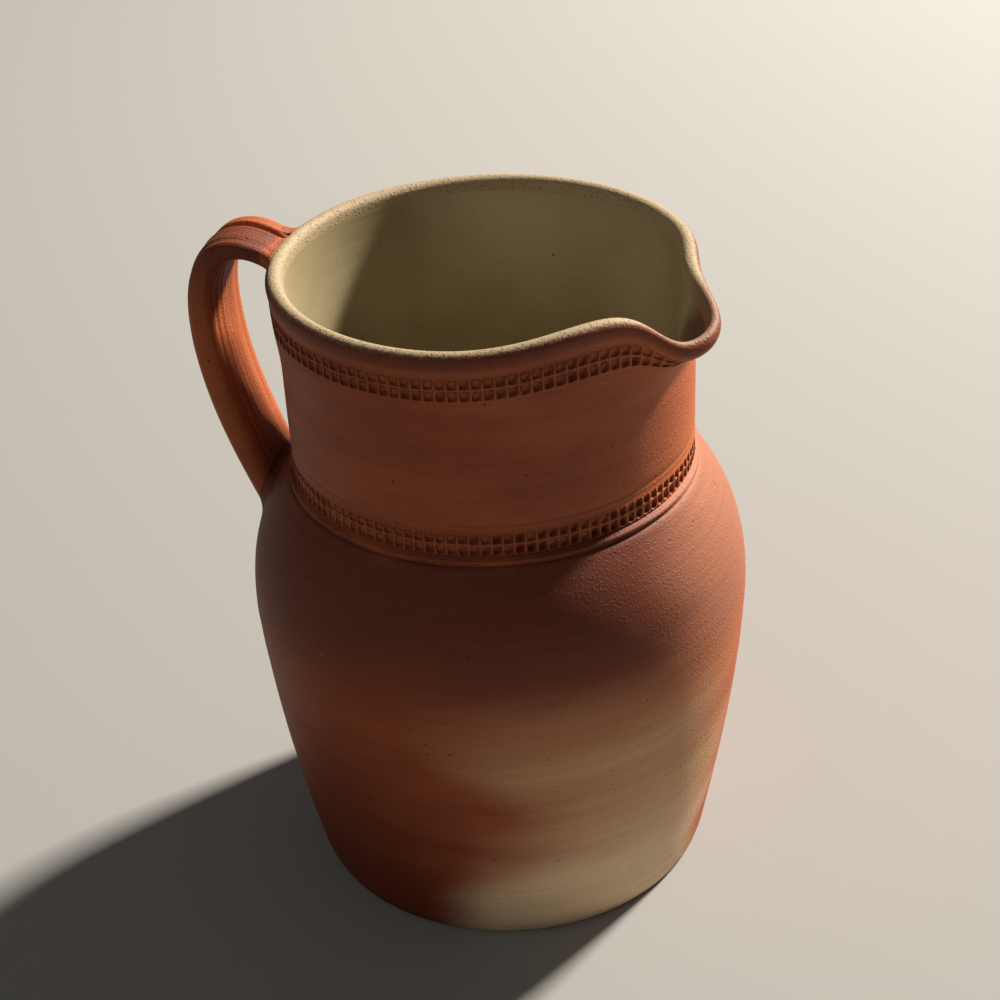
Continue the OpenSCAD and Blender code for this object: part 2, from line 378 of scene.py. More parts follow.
def pit_pressure(middle):
    """How hard the wheel pressed at a pit: firm on one side, and lighter in the topmost row."""
    turn = math.atan2(middle.y, middle.x)
    around = Vector((math.cos(turn), math.sin(turn), middle.z / MM))
    pressure = 0.85 + 0.8 * noise.noise(around * 1.5)
    pressure += 0.5 * math.cos(turn - math.radians(FIRM_TURN))
    if middle.z > UPPER_ROW_Z + ROW_TOOTH_H:
        pressure *= 0.5
    return pressure


def press_teeth(bm, sharp):
    """Presses each face of the four rows into a pit that leans a little, no two quite alike."""
    chance = random.Random(7)
    pits = row_faces(bm)
    for thickness, depth in PIT_CUTS:
        bmesh.ops.inset_individual(
            bm, faces=pits, thickness=thickness, depth=depth, use_even_offset=True,
        )
        for vert in {v for face in pits for v in face.verts}:
            vert[sharp] = PIT_SHARPNESS
    for face in pits:
        middle = face.calc_center_median()
        radial = Vector((middle.x, middle.y, 0)).normalized()
        around = Vector((-radial.y, radial.x, 0))
        depth = TOOTH_DEPTH * pit_pressure(middle) * chance.uniform(0.05, 0.8) - 0.15 * MM
        lean = TOOTH_LEAN * chance.uniform(0.5, 1.5)
        slant = TOOTH_SLANT * chance.uniform(0.3, 1.6)
        for vert in face.verts:
            side = (vert.co - middle).dot(around) / TOOTH_HALF
            high = (vert.co.z - middle.z) / TOOTH_HALF
            vert.co -= radial * (depth + lean * side - 0.12 * MM * high)
            vert.co += around * slant * high
    return len(pits)


def wear_ridges(bm):
    """Lowers the ridge between the two rows of each band, here and there, so some pits join."""
    for vert in bm.verts:
        over = min(abs(vert.co.z - z - ROW_TOOTH_H) for z in (LOWER_ROW_Z, UPPER_ROW_Z))
        if over < 0.45 * MM and math.hypot(vert.co.x, vert.co.y) > NECK_R - 0.5 * MM:
            turn = math.atan2(vert.co.y, vert.co.x)
            patch = noise.noise(Vector((math.cos(turn), math.sin(turn), vert.co.z)) * 9.0)
            loss = RIDGE_LOSS * smooth_step(patch, -0.15, 0.4)
            vert.co -= Vector((vert.co.x, vert.co.y, 0)).normalized() * loss


def round_rim(co):
    """Degrees round the rolled rim: 0 at its outer side, 180 inside, negative below it outside."""
    over = co.z - ROLL_CENTRE[1]
    out = math.hypot(co.x, co.y) - ROLL_CENTRE[0]
    if over >= 0:
        return math.degrees(math.atan2(over, out))
    return 20 * over / MM if out > -2.2 * MM else 180.0


def make_neck():
    rim = arc(ROLL_CENTRE, RIM_ROLL, -20, 185, 10)
    bm = spun(neck_outside() + rim + neck_inside(), TURN_STEPS, closed=True)
    around_rim = bm.verts.layers.float.new("round_rim")
    sharp = bm.verts.layers.float.new("crease_vert")
    count = press_teeth(bm, sharp)
    wear_ridges(bm)
    for vert in bm.verts:
        vert[around_rim] = round_rim(vert.co)
        if vert.co.z > JOIN_Z + 0.5 * MM:
            if math.hypot(vert.co.x, vert.co.y) > NECK_R - 1 * MM:
                vert.co = hand_throw(vert.co)
            vert.co = pull_lip(vert.co)
    bmesh.ops.recalc_face_normals(bm, faces=bm.faces)
    print("pressed", count, "pits")
    return place_piece("neck_wall", bm, "thrown_neck")


neck = make_neck()

# %% [markdown]
# ## Coil in the join
# Where neck meets shoulder, a soft coil was worked into the joint and turned to a fine
# raised line between two grooves. It is a small ring with its own profile.


# %% Coil in the join
def make_coil():
    low, high = JOIN_Z - NOTCH_HALF, LOWER_ROW_Z - 0.7 * MM
    inner = NECK_R - 1.2 * MM
    profile = [
        (inner, low), (NECK_R + 1.72 * MM, low), (NECK_R + 1.3 * MM, low + 0.35 * MM),
        (NECK_R + 1.0 * MM, low + 0.65 * MM), (NECK_R + 1.35 * MM, low + 0.95 * MM),
        (NECK_R + 1.75 * MM, low + 1.35 * MM), (NECK_R + 1.6 * MM, low + 1.85 * MM),
        (NECK_R + 0.75 * MM, low + 2.3 * MM), (NECK_R + 0.0 * MM, low + 2.65 * MM),
        (NECK_R - 0.35 * MM, low + 3.0 * MM), (NECK_R - 0.3 * MM, high), (inner, high),
    ]
    bm = spun(profile, 2 * TURN_STEPS, closed=True)
    return place_piece("join_coil_turned", bm, "join_coil")


coil = make_coil()

# %% [markdown]
# ## Handle
# The strap is pulled from a lump of clay between wet fingers, which leaves long ribs and
# grooves. One rounded section is extruded step by step along the handle's middle line: an
# arch from the neck, then a long drop to the shoulder. The section changes slowly on the
# way, and the grooves wander a little.

# %% Handle
STRAP_REACH = 89.9 * MM
STRAP_MIDDLE = (STRAP_REACH, 184 * MM)
ARCH = [(61 * MM, 202 * MM), (69 * MM, 211 * MM), (STRAP_REACH + 1.1 * MM, 218.5 * MM), STRAP_MIDDLE]
DROP = [
    STRAP_MIDDLE, (STRAP_REACH - 0.8 * MM, 160 * MM), (79.6 * MM, 138.5 * MM), (67.8 * MM, 112 * MM),
]
# Sizes at the neck end, at the furthest point and at the foot
STRAP_WIDTHS = (21.5 * MM, 26 * MM, 27.5 * MM)
STRAP_THICKS = (7.4 * MM, 12 * MM, 10.6 * MM)
STRAP_SIDEWAYS = 2 * MM
SECTION_STEPS = 96
STRAP_STEPS = 90
SOFTNESS = 0.7
# Each groove: where it lies across the strap from -1 to 1, its half-width there and its depth
OUTER_GROOVES = (
    (0.24, 0.1, 2.5 * MM), (0.06, 0.09, -0.5 * MM), (0.46, 0.12, -0.5 * MM), (-0.3, 0.3, 0.5 * MM),
    (-0.7, 0.12, 0.5 * MM),
)
INNER_GROOVES = (
    (-0.68, 0.05, -0.4 * MM), (-0.5, 0.06, 0.45 * MM), (-0.3, 0.05, 0.3 * MM), (-0.12, 0.06, 0.25 * MM),
    (0.45, 0.12, 0.3 * MM),
)


def strap_line():
    """Stations down the strap: middle point, direction, and way.

    The way is 0 at the neck, 1 at the furthest point and 2 at the foot.
    """
    points = bend(*ARCH, STRAP_STEPS) + bend(*DROP, STRAP_STEPS) + [DROP[3]]
    path = [Vector((-r, 0, z)) for r, z in points]
    lengths = [0.0]
    for a, b in zip(path, path[1:]):
        lengths.append(lengths[-1] + (b - a).length)
    stations = []
    for i in range(STRAP_STEPS + 1):
        want = lengths[-1] * i / STRAP_STEPS
        k = max(j for j, length in enumerate(lengths) if length <= want + 1e-9)
        k = min(k, len(path) - 2)
        t = (want - lengths[k]) / (lengths[k + 1] - lengths[k])
        low, high = max(k - 3, 0), min(k + 4, len(path) - 1)
        direction = (path[high] - path[low]).normalized()
        stations.append((path[k].lerp(path[k + 1], t), direction, (k + t) / STRAP_STEPS))
    return stations


def softened(x):
    return math.copysign(abs(x) ** SOFTNESS, x)


def groove_depth(across, grooves, drift):
    return sum(depth * bell(across, at + drift, wide) for at, wide, depth in grooves)


def along_strap(sizes, way, first_from, second_from):
    """A size that eases from its top value to the middle one, and from there to the foot's."""
    top, middle, foot = sizes
    early = smooth_step(way, first_from, 1.1)
    late = smooth_step(way, second_from, 2.0)
    return top + (middle - top) * early + (foot - middle) * late


def strap_section(way):
    """Points (side, out) of the strap's rounded section, with its grooves."""
    wide = along_strap(STRAP_WIDTHS, way, 0.0, 1.2)
    thick = along_strap(STRAP_THICKS, way, 0.2, 1.4)
    drift = 0.05 * noise.noise(Vector((0.3, 0.7, way * 1.5)))
    sideways = STRAP_SIDEWAYS * (1 - way / 2)
    points = []
    for i in range(SECTION_STEPS):
        a = math.tau * i / SECTION_STEPS
        across, out = softened(math.cos(a)), softened(math.sin(a))
        grooves = OUTER_GROOVES if out > 0 else INNER_GROOVES
        cut = groove_depth(across, grooves, drift) * min(1, abs(out) * 1.2)
        points.append((wide / 2 * across + sideways, thick / 2 * out - math.copysign(cut, out)))
    return points


def section_points(station):
    middle, along, way = station
    outward = Vector((along.z, 0, -along.x))
    return [middle + outward * out + Vector((0, side, 0)) for side, out in strap_section(way)]


def next_ring(bm, ring, edges):
    """Extrudes a ring of edges and returns the new points, in the old ones' order, and edges."""
    made = bmesh.ops.extrude_edge_only(bm, edges=edges)["geom"]
    fresh = {g for g in made if isinstance(g, bmesh.types.BMVert)}
    ring = [next(e.other_vert(v) for e in v.link_edges if e.other_vert(v) in fresh) for v in ring]
    edges = [g for g in made if isinstance(g, bmesh.types.BMEdge) and all(v in fresh for v in g.verts)]
    return ring, edges


def swept(stations):
    """Extrudes the section's ring from station to station and returns the mesh and its two ends."""
    bm = bmesh.new()
    side = bm.verts.layers.float.new("strap_side")
    way = bm.verts.layers.float.new("strap_way")
    ring = bmesh.ops.create_circle(bm, segments=SECTION_STEPS, radius=1 * MM)["verts"]
    edges = list(bm.edges)
    first = list(edges)
    for step, station in enumerate(stations):
        if step:
            ring, edges = next_ring(bm, ring, edges)
        for vert, place in zip(ring, section_points(station)):
            vert.co = place
            vert[side] = place.y / MM
            vert[way] = station[2]
    return bm, first, edges


def tuck_in(co):
    """Keeps the strap's top end inside the rim and the wall behind it."""
    radius = math.hypot(co.x, co.y)
    if co.z < 150 * MM or radius > 65.3 * MM:
        return co
    deep = max(radius, NECK_R - 0.7 * MM)
    co = Vector((co.x * deep / radius, co.y * deep / radius, co.z))
    over = RIM_ROLL ** 2 - (deep - ROLL_CENTRE[0]) ** 2
    co.z = min(co.z, ROLL_CENTRE[1] + math.sqrt(max(over, 0)) - 0.35 * MM)
    return co


def make_handle():
    stations = strap_line()
    bm, first, last = swept(stations)
    for vert in bm.verts:
        vert.co = tuck_in(vert.co)
    bmesh.ops.holes_fill(bm, edges=first + last, sides=0)
    bmesh.ops.recalc_face_normals(bm, faces=bm.faces)
    return place_piece("handle_strap", bm, "pulled_handle")


handle = make_handle()

# %% [markdown]
# ## Luting of the handle
# Each end of the strap was stuck on with wet clay and the joint was smoothed with a finger,
# so strap and wall flow into each other. A collar starts just under the strap's skin and
# flares out until it lies along the wall. Its last ring, and any point that went deeper, is
# set just under the wall's surface, so the edge of the collar vanishes into the wall.

# %% Luting of the handle
LUTE_RINGS = 12
LUTE_FLARE = 4.5 * MM
LUTE_RUN = 6.5 * MM
LUTE_UNDER = 0.3 * MM
LUTE_SUNK = 0.25 * MM
# Stations of the strap that belong to its neck end, and the one that gives a collar's spread
NECK_STATIONS = 40
SPREAD_STATION = 6


def wall_radius(z):
    """The pot's outer radius at height z, on the side where the handle is."""
    if z > ROLL_CENTRE[1]:
        return ROLL_CENTRE[0] + math.sqrt(max(RIM_ROLL ** 2 - (z - ROLL_CENTRE[1]) ** 2, 0))
    outline = belly_outside(20, 20) + neck_outside()[2:]
    outline.append((ROLL_CENTRE[0] + RIM_ROLL, ROLL_CENTRE[1]))
    for (r0, z0), (r1, z1) in zip(outline, outline[1:]):
        if z0 <= z <= z1 and z1 > z0:
            return r0 + (r1 - r0) * (z - z0) / (z1 - z0)
    return outline[0][0]


def wall_normal(co):
    """Straight out of the wall at a point on it."""
    lean = (wall_radius(co.z + 0.5 * MM) - wall_radius(co.z - 0.5 * MM)) / MM
    return Vector((co.x, co.y, -lean * math.hypot(co.x, co.y))).normalized()


def above_wall(co):
    return math.hypot(co.x, co.y) - wall_radius(co.z)


def walk(points, start, distance):
    """The place on a line of points that lies distance past the crossing in segment start."""
    a, b = points[start], points[start + 1]
    low, high = above_wall(a), above_wall(b)
    at = a.lerp(b, -low / (high - low))
    index = start + 1
    while index < len(points) - 1 and distance > (points[index] - at).length:
        distance -= (points[index] - at).length
        at = points[index]
        index += 1
    return at + (points[index] - at).normalized() * distance


def lute_point(line, outward, ring, flare):
    """One point of a collar: ring 0 lies under the strap's skin, and the last one on the wall."""
    start = next(i for i in range(len(line) - 1) if above_wall(line[i]) < 0 <= above_wall(line[i + 1]))
    t = ring / LUTE_RINGS
    normal = wall_normal(walk(line, start, 0))
    spread = (outward - normal * outward.dot(normal)).normalized()
    at = walk(line, start, LUTE_RUN * (1 - t) ** 2)
    at += spread * (flare * t * t) - outward * (LUTE_UNDER * (1 - t))
    radius = math.hypot(at.x, at.y)
    sunk = wall_radius(at.z) - LUTE_SUNK
    if ring == LUTE_RINGS or radius < sunk:
        at = Vector((at.x * sunk / radius, at.y * sunk / radius, at.z))
    return at


def make_lute(name, node, top):
    stations = strap_line()
    stations = stations[:NECK_STATIONS] if top else stations[:NECK_STATIONS - 1:-1]
    rows = [section_points(station) for station in stations]
    centre = [station[0] for station in stations]
    bm = bmesh.new()
    ring = bmesh.ops.create_circle(bm, segments=SECTION_STEPS, radius=1 * MM)["verts"]
    edges = list(bm.edges)
    first = list(edges)
    for step in range(LUTE_RINGS + 1):
        if step:
            ring, edges = next_ring(bm, ring, edges)
        for i, vert in enumerate(ring):
            line = [row[i] for row in rows]
            outward = (line[SPREAD_STATION] - centre[SPREAD_STATION]).normalized()
            upper = smooth_step(outward.z, 0.0, 0.7) if top else 0.0
            vert.co = lute_point(line, outward, step, LUTE_FLARE * (1 - 0.85 * upper))
    bmesh.ops.holes_fill(bm, edges=first + edges, sides=0)
    bmesh.ops.recalc_face_normals(bm, faces=bm.faces)
    return place_piece(name, bm, node)


top_lute = make_lute("top_lute_smoothed", "top_lute", True)
foot_lute = make_lute("foot_lute_smoothed", "foot_lute", False)

# %% [markdown]
# ## Liner glaze
# The inside is lined with a glaze, poured in and out again. It is a thin skin just inside
# the wall that runs out to nothing below the rim. Its outer side is sunk a little into the
# clay, so no gap can show, and it is pulled with the lip like the wall behind it.

# %% Liner glaze
GLAZE_SUNK = 0.3 * MM
FLOOR_BEND_Z = 12 * MM


def glaze_depth(z):
    """The glaze's thickness at height z: it thins out over its last few millimetres."""
    return GLAZE_T * (1 - smooth_step(z, GLAZE_TOP_Z - 12 * MM, GLAZE_TOP_Z))


def make_glaze():
    wall = [(FOOT_R - 40 * MM, FLOOR_T)] + belly_inside(26) + neck_inside()[::-1]
    sunk = [(r + GLAZE_SUNK, z - (GLAZE_SUNK if z < FLOOR_BEND_Z else 0)) for r, z in wall]
    skin = [(r - glaze_depth(z), z + (GLAZE_T if z < FLOOR_BEND_Z else 0)) for r, z in wall]
    lip_edge = [(NECK_INNER_R + 1.62 * MM, GLAZE_TOP_Z + 0.5 * MM)]
    bm = spun(
        [(0, FLOOR_T - GLAZE_SUNK)] + sunk + lip_edge + skin[::-1] + [(0, FLOOR_T + GLAZE_T)],
        TURN_STEPS, closed=False,
    )
    height = bm.verts.layers.float.new("thrown_height")
    for vert in bm.verts:
        vert[height] = vert.co.z / MM
        vert.co = pull_lip(vert.co)
    return place_piece("glaze_skin", bm, "liner_glaze")


glaze = make_glaze()

# %% [markdown]
# ## Materials: helpers for nodes
# A material is a tree of small nodes. A few helpers add a node and join its sockets in one
# line each, so that a recipe further down reads like a list of its steps.


# %% Node helpers
def new_group(name, inputs, outputs):
    group = bpy.data.node_groups.new(name, "ShaderNodeTree")
    for socket, kind, value in inputs:
        made = group.interface.new_socket(socket, in_out="INPUT", socket_type=kind)
        if value is not None:
            made.default_value = value
    for socket, kind in outputs:
        group.interface.new_socket(socket, in_out="OUTPUT", socket_type=kind)
    return group, group.nodes.new("NodeGroupInput"), group.nodes.new("NodeGroupOutput")


def add(tree, kind, links=None, **settings):
    """Adds a node, sets its properties and joins or sets its inputs by name or number."""
    node = tree.nodes.new(kind)
    for key, value in settings.items():
        setattr(node, key, value)
    for key, value in (links or {}).items():
        if isinstance(value, bpy.types.NodeSocket):
            tree.links.new(value, node.inputs[key])
        else:
            node.inputs[key].default_value = value
    return node


def math_node(tree, operation, a, b):
    return add(tree, "ShaderNodeMath", {0: a, 1: b}, operation=operation).outputs[0]


def ramp(tree, value, low, high):
    """Goes smoothly from 0 at low to 1 at high, which may be the smaller of the two."""
    links = {"Value": value, "From Min": low, "From Max": high}
    node = add(tree, "ShaderNodeMapRange", links, interpolation_type="SMOOTHSTEP", clamp=True)
    return node.outputs["Result"]


def mix_color(tree, factor, a, b, blend="MIX"):
    links = {0: factor, 6: a, 7: b}
    return add(tree, "ShaderNodeMix", links, data_type="RGBA", blend_type=blend).outputs[2]


print("node helpers:", [f.__name__ for f in (new_group, add, math_node, ramp, mix_color)])

# %% [markdown]
# ## Materials: shared effects
# Clay and glaze share some effects: sandy grain, dark iron specks, and the lines that a
# turning wheel leaves. Each is a small node group with named sockets, so that every
# material sets its own scale. A group only puts out values and masks.


# %% Shared effects
def sandy_grain_group():
    group, enter, leave = new_group(
        "sandy_grain",
        [("Vector", "NodeSocketVector", None), ("Scale", "NodeSocketFloat", 900.0)],
        [("Grain", "NodeSocketFloat"), ("Grit", "NodeSocketFloat")],
    )
    place, scale = enter.outputs["Vector"], enter.outputs["Scale"]
    fine = add(group, "ShaderNodeTexNoise", {
        "Vector": place, "Scale": scale, "Detail": 4.0, "Roughness": 0.62,
    })
    coarse_scale = math_node(group, "MULTIPLY", scale, 0.55)
    cells = add(group, "ShaderNodeTexVoronoi", {"Vector": place, "Scale": coarse_scale})
    bump = ramp(group, cells.outputs["Distance"], 0.45, 0.05)
    group.links.new(fine.outputs["Fac"], leave.inputs["Grain"])
    group.links.new(bump, leave.inputs["Grit"])
    return group


def iron_specks_group():
    group, enter, leave = new_group(
        "iron_specks",
        [("Vector", "NodeSocketVector", None), ("Scale", "NodeSocketFloat", 260.0),
         ("Share", "NodeSocketFloat", 0.12), ("Size", "NodeSocketFloat", 0.2)],
        [("Specks", "NodeSocketFloat")],
    )
    cells = add(group, "ShaderNodeTexVoronoi", {
        "Vector": enter.outputs["Vector"], "Scale": enter.outputs["Scale"],
    })
    pick = add(group, "ShaderNodeSeparateColor", {0: cells.outputs["Color"]})
    chosen = math_node(group, "LESS_THAN", pick.outputs[0], enter.outputs["Share"])
    varied = math_node(group, "ADD", pick.outputs[1], 0.35)
    own_size = math_node(group, "MULTIPLY", enter.outputs["Size"], varied)
    inner = math_node(group, "MULTIPLY", own_size, 0.45)
    edge = add(group, "ShaderNodeMapRange", {
        "Value": cells.outputs["Distance"], "From Min": own_size, "From Max": inner,
    }, clamp=True)
    specks = math_node(group, "MULTIPLY", chosen, edge.outputs["Result"])
    group.links.new(specks, leave.inputs["Specks"])
    return group


def turning_lines_group():
    group, enter, leave = new_group(
        "turning_lines",
        [("Vector", "NodeSocketVector", None), ("Scale", "NodeSocketFloat", 700.0)],
        [("Lines", "NodeSocketFloat")],
    )
    flat = add(group, "ShaderNodeVectorMath", {
        0: enter.outputs["Vector"], 1: (0.018, 0.018, 1.0),
    }, operation="MULTIPLY")
    bands = add(group, "ShaderNodeTexNoise", {
        "Vector": flat.outputs[0], "Scale": enter.outputs["Scale"], "Detail": 3.0, "Roughness": 0.6,
    })
    group.links.new(bands.outputs["Fac"], leave.inputs["Lines"])
    return group


GROUPS = {
    "grain": sandy_grain_group(),
    "specks": iron_specks_group(),
    "lines": turning_lines_group(),
}


def use_group(tree, name, links):
    return add(tree, "ShaderNodeGroup", links, node_tree=GROUPS[name])


print("shared effects:", sorted(GROUPS))

# %% [markdown]
# ## Material: flashed stoneware
# Bare stoneware takes its colour from the flame. The clay is a brick red, darker and more
# purple where the fire was strong, orange towards the lit +X side, partly flashing and partly
# painted light, and tan where ash or a neighbouring pot shielded it. The tan pales at the foot,
# partly ash and partly painted sheen. On the lit side the maroon shoulder turns pink, which is
# painted light and sheen, and the rim's outer side and the band under it get painted shade.
# Broad soft masks in object space place these, and noise breaks their edges. The lines, grain
# and specks go on top, in colour and in the surface. On the strap the streaks run lengthwise,
# because it was pulled, and its arch is darkened, partly scorch and partly painted shade.

# %% Flashed stoneware
RUST = (0.26, 0.057, 0.020, 1)
ORANGE = (0.48, 0.122, 0.034, 1)
MAROON = (0.125, 0.027, 0.012, 1)
DEEP_RED = (0.15, 0.026, 0.008, 1)
# Painted light and sheen: the maroon shoulder as it looks when lit, a paler pink.
LIT_SHOULDER_PINK = (0.33, 0.125, 0.07, 1)
TAN = (0.56, 0.32, 0.16, 1)
# Partly ash, partly painted sheen: the paler tone at the foot.
ASH_AND_SHEEN = (0.74, 0.53, 0.33, 1)
PALE_RIM = (0.38, 0.29, 0.17, 1)
RIM_GRIT = (0.26, 0.16, 0.09, 1)
IRON = (0.03, 0.012, 0.008, 1)
LIP_BROWN = (0.25, 0.12, 0.07, 1)


def toward(tree, place, degrees):
    """How far a point lies towards a compass direction, -1 to 1, from its object place."""
    flat = add(tree, "ShaderNodeVectorMath", {0: place, 1: (1, 1, 0)}, operation="MULTIPLY")
    unit = add(tree, "ShaderNodeVectorMath", {0: flat.outputs[0]}, operation="NORMALIZE")
    angle = math.radians(degrees)
    way = (math.cos(angle), math.sin(angle), 0)
    along = add(tree, "ShaderNodeVectorMath", {0: unit.outputs[0], 1: way}, operation="DOT_PRODUCT")
    return along.outputs["Value"]


BLUSH_TURN = -50.0
SCORCH_TURN = -122.0
# The lit +X side, where the orange and the pink painted light are placed.
LIT_SIDE_TURN = 20.0


def flash_color(tree, place, height):
    """The flame's broad colouring of the outside, as one colour, with painted light and sheen on the
    lit side and towards the foot.
    """
    squashed = add(tree, "ShaderNodeVectorMath", {0: place, 1: (1, 1, 3.2)}, operation="MULTIPLY")
    drift = add(tree, "ShaderNodeTexNoise", {
        "Vector": squashed.outputs[0], "Scale": 7.0, "Detail": 2.0, "Roughness": 0.5,
    })
    cloud = add(tree, "ShaderNodeTexNoise", {
        "Vector": squashed.outputs[0], "Scale": 20.0, "Detail": 5.0, "Roughness": 0.6,
    })
    sway = math_node(tree, "SUBTRACT", drift.outputs["Fac"], 0.5)
    puffs = math_node(tree, "SUBTRACT", cloud.outputs["Fac"], 0.5)
    feather = math_node(tree, "MULTIPLY", puffs, 0.03)
    moved = math_node(tree, "ADD", height, math_node(tree, "MULTIPLY", sway, 0.035))
    moved = math_node(tree, "ADD", moved, feather)
    soft = math_node(tree, "MULTIPLY", ramp(tree, cloud.outputs["Fac"], 0.3, 0.75), 0.45)
    color = mix_color(tree, soft, RUST, ORANGE)
    # Orange towards the lit +X side: partly flashing, partly painted light that makes the lit side
    # brighter.
    orange_and_lit_side = ramp(tree, math_node(tree, "ADD", toward(tree, place, LIT_SIDE_TURN), sway), 0.25, 1.0)
    color = mix_color(tree, math_node(tree, "MULTIPLY", orange_and_lit_side, 0.7), color, ORANGE)
    shoulder = math_node(
        tree, "MULTIPLY", ramp(tree, moved, 0.088, 0.118), ramp(tree, moved, 0.150, 0.140),
    )
    # Painted light and sheen: on the lit +X side the maroon shoulder is painted a paler pink.
    painted_light_side = ramp(tree, math_node(tree, "ADD", toward(tree, place, LIT_SIDE_TURN), sway), 0.55, 0.95)
    shoulder_with_lit_pink = mix_color(tree, painted_light_side, MAROON, LIT_SHOULDER_PINK)
    color = mix_color(tree, math_node(tree, "MULTIPLY", shoulder, 0.88), color, shoulder_with_lit_pink)
    blush_way = ramp(tree, math_node(tree, "ADD", toward(tree, place, BLUSH_TURN), sway), 0.66, 1.02)
    blush_low = ramp(tree, moved, 0.112, 0.062)
    blush = math_node(tree, "MULTIPLY", blush_way, blush_low)
    # Towards the foot the tan pales to a lighter tone, partly ash and partly painted sheen.
    ash_and_sheen = mix_color(tree, ramp(tree, moved, 0.055, 0.015), TAN, ASH_AND_SHEEN)
    color = mix_color(tree, blush, color, ash_and_sheen)
    scorch_way = ramp(tree, toward(tree, place, SCORCH_TURN), 0.7, 0.98)
    scorch_low = ramp(tree, moved, 0.085, 0.005)
    color = mix_color(tree, math_node(tree, "MULTIPLY", scorch_way, scorch_low), color, DEEP_RED)
    return color


def strap_places(tree):
    """The strap's side in millimetres and its way along, as its points were given them."""
    side = add(tree, "ShaderNodeAttribute", attribute_name="strap_side").outputs["Fac"]
    way = add(tree, "ShaderNodeAttribute", attribute_name="strap_way").outputs["Fac"]
    return side, way


def lengthwise_streaks(tree, side, way):
    """Streaks that run down the strap."""
    place = add(tree, "ShaderNodeCombineXYZ", {"X": side, "Y": way}).outputs[0]
    streaks = add(tree, "ShaderNodeTexNoise", {
        "Vector": place, "Scale": 1.1, "Detail": 4.0, "Roughness": 0.62,
    })
    return streaks.outputs["Fac"]


def arch_scorch_and_shade(tree, side, way):
    """Where the strap's arch is darkened on the -Y side: partly flame scorch, partly painted shade."""
    across = ramp(tree, side, 6.0, 1.0)
    along = math_node(tree, "MULTIPLY", ramp(tree, way, 1.15, 0.55), ramp(tree, way, 0.02, 0.28))
    return math_node(tree, "MULTIPLY", across, along)


def clay_material(name, rimmed=False, pulled=False, lines=0.5, grit=0.35):
    material = bpy.data.materials.new(name)
    material.use_nodes = True
    tree = material.node_tree
    shader = tree.nodes["Principled BSDF"]
    place = add(tree, "ShaderNodeTexCoord").outputs["Object"]
    height = add(tree, "ShaderNodeSeparateXYZ", {0: place}).outputs["Z"]
    color = flash_color(tree, place, height)
    grain = use_group(tree, "grain", {"Vector": place, "Scale": 1500.0})
    if pulled:
        side, way = strap_places(tree)
        color = mix_color(tree, 0.6, color, ORANGE)
        # The strap's arch is darkened towards maroon on its -Y side: partly flame scorch, partly
        # painted shade.
        scorch_and_painted_shade = math_node(tree, "MULTIPLY", arch_scorch_and_shade(tree, side, way), 0.85)
        color = mix_color(tree, scorch_and_painted_shade, color, MAROON)
        drawn = lengthwise_streaks(tree, side, way)
    else:
        drawn = use_group(tree, "lines", {"Vector": place, "Scale": 620.0}).outputs["Lines"]
    dark = use_group(tree, "specks", {
        "Vector": place, "Scale": 420.0, "Share": 0.12, "Size": 0.17,
    })
    pale = use_group(tree, "specks", {
        "Vector": place, "Scale": 330.0, "Share": 0.03, "Size": 0.1,
    })
    shade = math_node(tree, "ADD", 0.82, math_node(tree, "MULTIPLY", drawn, 0.36))
    sandy = math_node(tree, "ADD", 0.86, math_node(tree, "MULTIPLY", grain.outputs["Grain"], 0.28))
    shade = math_node(tree, "MULTIPLY", shade, sandy)
    tone = add(tree, "ShaderNodeCombineColor", {0: shade, 1: shade, 2: shade})
    color = mix_color(tree, 1.0, color, tone.outputs[0], "MULTIPLY")
    color = mix_color(tree, math_node(tree, "MULTIPLY", dark.outputs["Specks"], 0.8), color, IRON)
    color = mix_color(tree, math_node(tree, "MULTIPLY", pale.outputs["Specks"], 0.6), color, PALE_RIM)
    rough = math_node(tree, "ADD", 0.5, math_node(tree, "MULTIPLY", grain.outputs["Grain"], 0.22))
    if rimmed:
        way = add(tree, "ShaderNodeAttribute", attribute_name="round_rim").outputs["Fac"]
        uneven = math_node(tree, "SUBTRACT", grain.outputs["Grain"], 0.5)
        uneven = math_node(tree, "MULTIPLY", uneven, 90.0)
        edge = math_node(tree, "ADD", way, uneven)
        # Painted shade: the rim's outer side and a band just under the roll are darkened towards
        # maroon.
        painted_shade_under_roll = math_node(tree, "MULTIPLY", ramp(tree, way, -75.0, -5.0), 0.75)
        color = mix_color(tree, painted_shade_under_roll, color, MAROON)
        rim_tone = mix_color(tree, grain.outputs["Grit"], PALE_RIM, RIM_GRIT)
        lip = ramp(tree, toward(tree, place, LIP_ANGLE), 0.93, 0.985)
        lip = math_node(tree, "MULTIPLY", lip, 0.8)
        rim_tone = mix_color(tree, lip, rim_tone, LIP_BROWN)
        color = mix_color(tree, ramp(tree, edge, 30.0, 70.0), color, rim_tone)
    tree.links.new(color, shader.inputs["Base Color"])
    tree.links.new(rough, shader.inputs["Roughness"])
    shader.inputs["Specular IOR Level"].default_value = 0.25
    relief = math_node(tree, "ADD", math_node(tree, "MULTIPLY", drawn, lines),
                       math_node(tree, "MULTIPLY", grain.outputs["Grain"], 0.55))
    relief = math_node(tree, "ADD", relief, math_node(tree, "MULTIPLY", grain.outputs["Grit"], grit))
    sunk_specks = math_node(tree, "MULTIPLY", dark.outputs["Specks"], 0.5)
    relief = math_node(tree, "SUBTRACT", relief, sunk_specks)
    bump = add(tree, "ShaderNodeBump", {"Height": relief, "Strength": 0.9, "Distance": 0.00028})
    tree.links.new(bump.outputs["Normal"], shader.inputs["Normal"])
    return material


